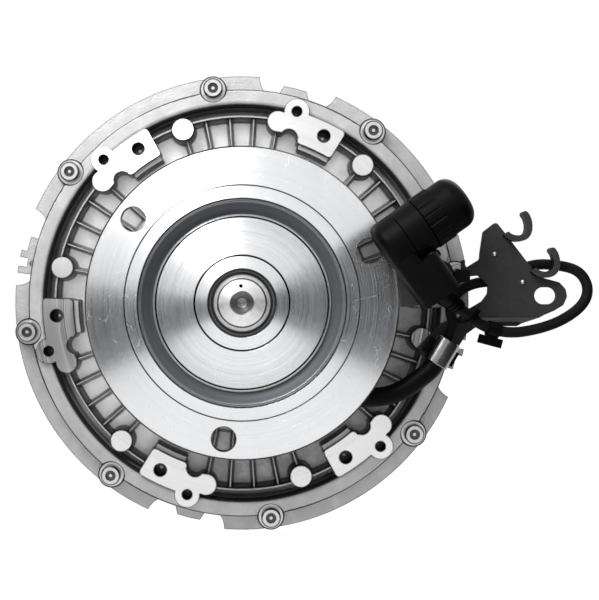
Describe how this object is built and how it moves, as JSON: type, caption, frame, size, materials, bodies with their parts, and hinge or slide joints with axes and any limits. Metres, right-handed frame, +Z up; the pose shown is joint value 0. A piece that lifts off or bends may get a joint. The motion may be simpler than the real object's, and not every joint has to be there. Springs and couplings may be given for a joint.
{
  "type": "viscous fan clutch",
  "caption": "Viscous fan clutch with an input flange, a finned cast housing with fan pads, and a fixed magnet with its lead, bracket and connector.",
  "frame": {"origin": "centre of the bolt circle of the input flange, in its mounting face", "axes": "Y along the shaft, -Y out of the mounting face towards the engine, +Y towards the fan; +Z up as in the picture; +X towards the connector side"},
  "size_m": [0.3731, 0.1455, 0.301],
  "materials": {
    "flange_steel": "turned",
    "shaft_steel": "ground",
    "cast_aluminium": "as cast, machined faces",
    "screw_steel": "plated",
    "bearing_steel": "ground",
    "cage_brass": "machined",
    "case_steel": "black coat",
    "sheet_steel": "dark coat",
    "sleeve_steel": "polished",
    "copper": "enamelled wire",
    "black_plastic": "moulded",
    "cable_jacket": "matt",
    "seal_rubber": "matt",
    "soft_steel": "plain"
  },
  "bodies": {
    "stator": {"magnet_case": "case_steel", "magnet_coil": "copper", "coil_bobbin": "black_plastic", "coil_cover": "black_plastic", "speed_sensor": "black_plastic", "lead_arm": "black_plastic", "arm_sleeve": "sleeve_steel", "sleeve_saddle": "black_plastic", "saddle_screws": "screw_steel", "lead_bracket": "sheet_steel", "bracket_rivets": "screw_steel", "lead_cable": "cable_jacket", "cable_tie": "black_plastic", "cable_clip": "black_plastic", "connector_backshell": "black_plastic", "connector_body": "black_plastic", "connector_ring": "black_plastic", "connector_cap": "black_plastic", "connector_boot": "seal_rubber", "connector_clip": "black_plastic", "connector_carrier": "sheet_steel", "magnet_bearing_outer_ring": "bearing_steel"},
    "input_shaft": {"input_flange": "flange_steel", "drive_shaft": "shaft_steel", "magnet_bearing_inner_ring": "bearing_steel", "magnet_bearing_circlip": "soft_steel", "main_bearing_inner_ring": "bearing_steel", "drive_disc": "cast_aluminium", "disc_washer": "screw_steel", "disc_screw": "screw_steel"},
    "fan_housing": {"main_bearing_outer_ring": "bearing_steel", "rear_housing": "cast_aluminium", "front_cover": "cast_aluminium", "flux_ring": "soft_steel", "tone_ring": "soft_steel", "shaft_seal": "seal_rubber", "bearing_retaining_ring": "soft_steel", "reservoir_plate": "soft_steel", "reservoir_plate_screws": "screw_steel", "valve_pivot_pin": "shaft_steel", "valve_spring": "shaft_steel", "cover_o_ring": "seal_rubber", "cover_screws": "screw_steel", "cover_screw_washers": "screw_steel", "dowel_pins": "shaft_steel", "oil_wiper": "black_plastic", "fill_plug": "screw_steel"},
    "valve": {"valve_lever": "soft_steel", "valve_armature": "soft_steel"},
    "magnet_bearing_set": {"magnet_bearing_balls": "bearing_steel", "magnet_bearing_cage": "cage_brass"},
    "main_bearing_set": {"main_bearing_balls": "bearing_steel", "main_bearing_cage": "cage_brass"}
  },
  "joints": [
    {"name": "shaft_spin", "type": "hinge", "parent": "stator", "child": "input_shaft", "pos_m": [0, 0, 0], "axis": [0, 1, 0], "continuous": true},
    {"name": "housing_spin", "type": "hinge", "parent": "input_shaft", "child": "fan_housing", "pos_m": [0, 0.055, 0], "axis": [0, 1, 0], "continuous": true},
    {"name": "magnet_bearing_spin", "type": "hinge", "parent": "stator", "child": "magnet_bearing_set", "pos_m": [0, 0.0337, 0], "axis": [0, 1, 0], "continuous": true},
    {"name": "main_bearing_spin", "type": "hinge", "parent": "input_shaft", "child": "main_bearing_set", "pos_m": [0, 0.055, 0], "axis": [0, 1, 0], "continuous": true},
    {"name": "valve_lift", "type": "hinge", "parent": "fan_housing", "child": "valve", "pos_m": [0, 0.059, 0.0525], "axis": [1, 0, 0], "range_deg": [0, 5], "stiffness_Nm_per_rad": 0.6, "springref_deg": -8.59, "deforming": ["valve_spring"]}
  ],
  "couplings": [
    {"joint": "magnet_bearing_spin", "follows": "shaft_spin", "ratio": 0.426},
    {"joint": "main_bearing_spin", "follows": "housing_spin", "ratio": 0.606}
  ]
}
